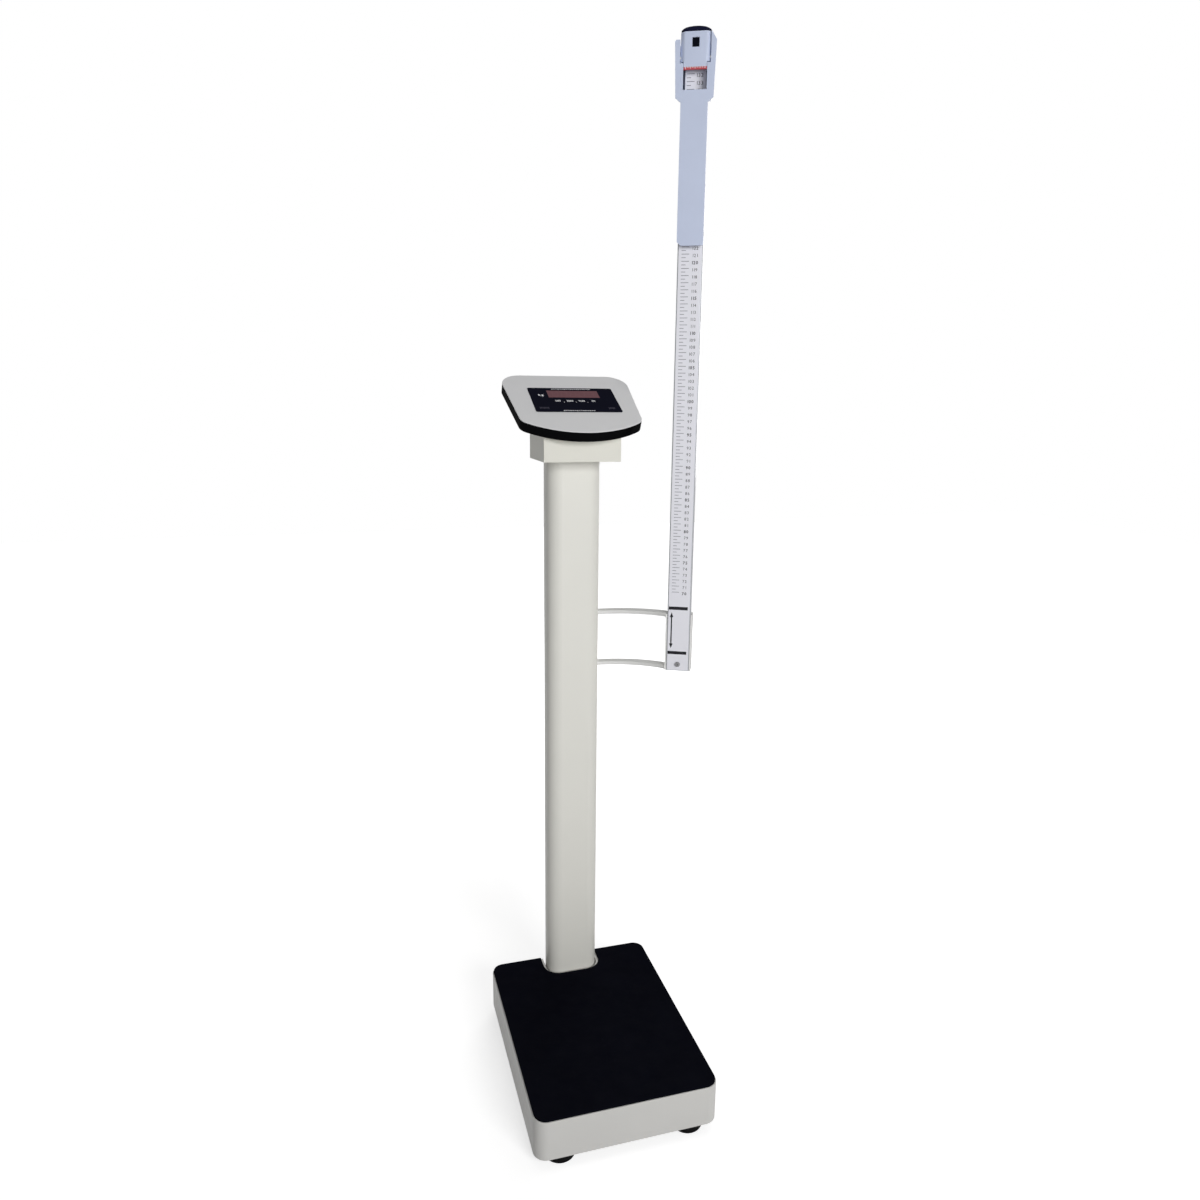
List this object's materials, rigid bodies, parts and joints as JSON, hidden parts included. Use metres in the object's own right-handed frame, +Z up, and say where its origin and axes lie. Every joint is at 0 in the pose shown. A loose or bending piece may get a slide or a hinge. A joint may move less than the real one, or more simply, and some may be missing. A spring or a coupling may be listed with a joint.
{
  "type": "column weighing scale with height rod",
  "caption": "Electronic column scale: low matted platform, tall rounded column with sloping display head, and a side-mounted telescopic height rod with a folding measuring blade.",
  "frame": {"origin": "on the floor, under the middle of the whole part seen from above", "axes": "+Z up, -Y towards the person who reads the display, +X towards the height rod"},
  "size_m": [0.3252, 0.4272, 1.588],
  "materials": {
    "cover_paint": "light grey powder coat",
    "frame_paint": "dark frame paint",
    "mat_rubber": "matte, finely grained",
    "foot_rubber": "matte",
    "fastener_steel": "zinc plated",
    "cell_aluminium": "milled",
    "cable_jacket": "matte",
    "battery_case": "moulded",
    "tray_plastic": "moulded",
    "trim_black": "glossy",
    "tray_plate": "satin, lacquered",
    "panel_print": "printed film",
    "window_tint": "tinted window",
    "led_epoxy": "cast epoxy",
    "board_green": "solder mask",
    "standoff_brass": "turned",
    "switch_black": "moulded",
    "arm_aluminium": "satin",
    "rod_aluminium": "anodised satin",
    "scale_label": "printed film",
    "guide_plastic": "moulded acetal",
    "cap_navy": "moulded",
    "slider_grey": "fine satin, bluish grey"
  },
  "bodies": {
    "scale": {"base_frame": "frame_paint", "foot_front_left": "foot_rubber", "foot_front_right": "foot_rubber", "foot_rear_left": "foot_rubber", "foot_rear_right": "foot_rubber", "foot_screws": "fastener_steel", "load_cell_spacers": "fastener_steel", "load_cell": "cell_aluminium", "load_cell_bolts": "fastener_steel", "overload_stops": "fastener_steel", "platform_frame": "frame_paint", "platform_cover": "cover_paint", "platform_mat": "mat_rubber", "column_flange": "frame_paint", "column_bolts": "fastener_steel", "column": "cover_paint", "column_top_plate": "frame_paint", "head_box": "cover_paint", "head_box_bolts": "fastener_steel", "cable_grommet": "foot_rubber", "load_cell_cable": "cable_jacket", "battery": "battery_case", "battery_strap": "fastener_steel", "tray_shell": "tray_plastic", "edge_trim": "trim_black", "top_plate": "tray_plate", "tray_screws": "fastener_steel", "membrane_panel": "panel_print", "display_window": "window_tint", "led_display": "led_epoxy", "circuit_board": "board_green", "board_standoffs": "standoff_brass", "tact_switches": "switch_black", "power_inlet": "switch_black", "switch_housing": "switch_black", "upper_arm": "arm_aluminium", "lower_arm": "arm_aluminium", "rod_clamp": "arm_aluminium", "clamp_screws": "fastener_steel", "outer_rod": "rod_aluminium", "outer_scale": "scale_label", "rod_plug": "switch_black", "rod_bush": "guide_plastic"},
    "inner": {"inner_rod": "rod_aluminium", "inner_scale": "scale_label", "inner_shoe": "guide_plastic", "rod_cap": "cap_navy"},
    "slider": {"slider_body": "slider_grey", "latch_plate": "slider_grey", "latch_spring": "fastener_steel", "hinge_pins": "fastener_steel"},
    "blade": {"measuring_blade": "slider_grey"},
    "latch": {"latch_button": "switch_black"},
    "unit_key": {"unit_key": "panel_print"},
    "zero_key": {"zero_key": "panel_print"},
    "tare_key": {"tare_key": "panel_print"},
    "power_key": {"power_key": "panel_print"},
    "rocker": {"switch_rocker": "switch_black"}
  },
  "joints": [
    {"name": "inner_rod_slide", "type": "slide", "parent": "scale", "child": "inner", "axis": [0, 0, 1], "range_m": [-0.1845, 0.4795]},
    {"name": "slider_slide", "type": "slide", "parent": "inner", "child": "slider", "axis": [0, 0, 1], "range_m": [-0.568, 0]},
    {"name": "blade_fold", "type": "hinge", "parent": "slider", "child": "blade", "pos_m": [0.13058, 0.03855, 1.55], "axis": [-0.8988, 0.4384, 0], "range_deg": [0, 90]},
    {"name": "latch_press", "type": "slide", "parent": "slider", "child": "latch", "axis": [0.4384, 0.8988, 0], "range_m": [0, 0.002], "stiffness_N_per_m": 600},
    {"name": "unit_key_press", "type": "slide", "parent": "scale", "child": "unit_key", "axis": [0, 0.454, -0.891], "range_m": [0, 0.0004], "stiffness_N_per_m": 4000},
    {"name": "zero_key_press", "type": "slide", "parent": "scale", "child": "zero_key", "axis": [0, 0.454, -0.891], "range_m": [0, 0.0004], "stiffness_N_per_m": 4000},
    {"name": "tare_key_press", "type": "slide", "parent": "scale", "child": "tare_key", "axis": [0, 0.454, -0.891], "range_m": [0, 0.0004], "stiffness_N_per_m": 4000},
    {"name": "power_key_press", "type": "slide", "parent": "scale", "child": "power_key", "axis": [0, 0.454, -0.891], "range_m": [0, 0.0004], "stiffness_N_per_m": 4000},
    {"name": "rocker_tilt", "type": "hinge", "parent": "scale", "child": "rocker", "pos_m": [0.00543, 0.17139, 1.063], "axis": [1, 0, 0], "range_deg": [0, 20]}
  ]
}
